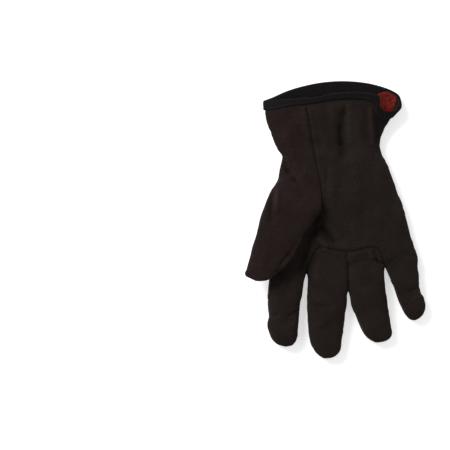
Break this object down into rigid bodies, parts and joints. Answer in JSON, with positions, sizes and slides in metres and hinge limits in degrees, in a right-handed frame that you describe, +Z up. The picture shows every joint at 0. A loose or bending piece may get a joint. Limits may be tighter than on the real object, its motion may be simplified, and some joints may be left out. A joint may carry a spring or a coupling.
{
  "type": "cotton work glove",
  "caption": "Right-hand work glove in brown cotton jersey, lying palm up, with a bound open cuff, a shirred wrist and a red fleece lining.",
  "frame": {"origin": "on the surface that the glove lies on, under the middle of its outline", "axes": "+Y from the fingertips to the cuff, +X away from the thumb, +Z up out of the palm"},
  "size_m": [0.1632, 0.254, 0.0284],
  "materials": {
    "jersey": "dark brown brushed cotton jersey, matt, slightly mottled",
    "binding": "black ribbed knit tape",
    "fleece": "red brushed fleece"
  },
  "bodies": {
    "root": {"back_panel": "jersey", "palm_panel": "jersey", "middle_finger_panel": "jersey", "thumb_panel": "jersey", "cuff_binding": "binding", "cuff_lining": "fleece"}
  },
  "joints": []
}
